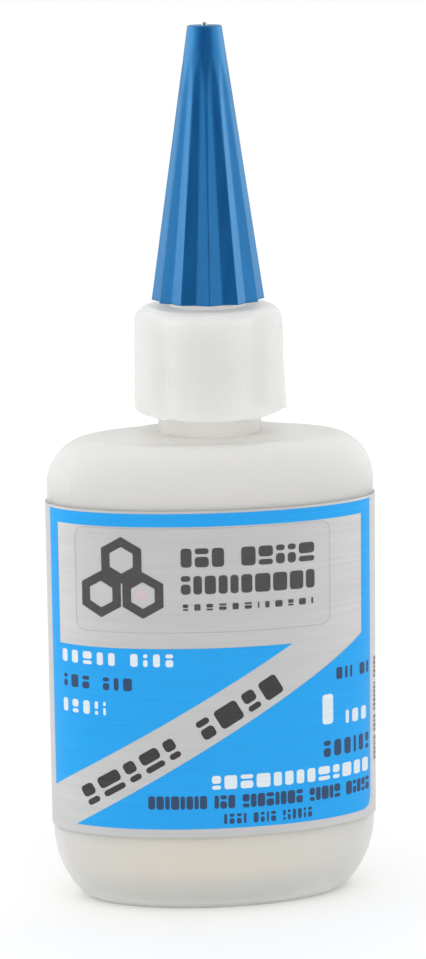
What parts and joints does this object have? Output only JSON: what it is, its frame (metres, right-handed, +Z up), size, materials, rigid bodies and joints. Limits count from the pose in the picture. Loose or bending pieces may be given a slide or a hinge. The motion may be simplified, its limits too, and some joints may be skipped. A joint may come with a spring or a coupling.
{
  "type": "glue applicator bottle",
  "caption": "Oval squeeze bottle with a wrap label, a nozzle under a six-sided screw collar, and a tall fluted screw cap with a steel pin in its tip.",
  "frame": {"origin": "middle of the base, on the surface that the bottle stands on", "axes": "+Z up along the nozzle, +X to the bottle's right, the label's front faces -Y"},
  "size_m": [0.0408, 0.0191, 0.1084],
  "materials": {
    "natural_polyethylene": "translucent natural polyethylene with a soft sheen",
    "label_film": "brushed silver-grey film with blue panels",
    "clear_film": "clear glossy film",
    "glue_liquid": "clear thin liquid",
    "cap_plastic": "satin blue moulded plastic",
    "pin_steel": "drawn steel"
  },
  "bodies": {
    "bottle_body": {"bottle": "natural_polyethylene", "wrap_label": "label_film", "badge_sticker": "clear_film", "glue": "glue_liquid"},
    "spout_body": {"spout": "natural_polyethylene"},
    "collar_body": {"collar": "natural_polyethylene"},
    "pin_body": {"cap_pin": "pin_steel"},
    "cap_body": {"cap": "cap_plastic"}
  },
  "joints": [
    {"name": "nozzle_lift", "type": "slide", "parent": "bottle_body", "child": "spout_body", "axis": [0, 0, 1], "range_m": [0, 0.015]},
    {"name": "collar_turn", "type": "hinge", "parent": "spout_body", "child": "collar_body", "pos_m": [0, 0, 0.0676], "axis": [0, 0, 1], "range_deg": [0, 1800]},
    {"name": "cap_lift", "type": "slide", "parent": "spout_body", "child": "pin_body", "axis": [0, 0, 1], "range_m": [0, 0.03]},
    {"name": "cap_turn", "type": "hinge", "parent": "pin_body", "child": "cap_body", "pos_m": [0, 0, 0.0915], "axis": [0, 0, 1], "range_deg": [0, 3600]}
  ],
  "couplings": [
    {"joint": "collar_turn", "follows": "nozzle_lift", "rad_per_m": 2094.4},
    {"joint": "cap_turn", "follows": "cap_lift", "rad_per_m": 2094.4}
  ]
}
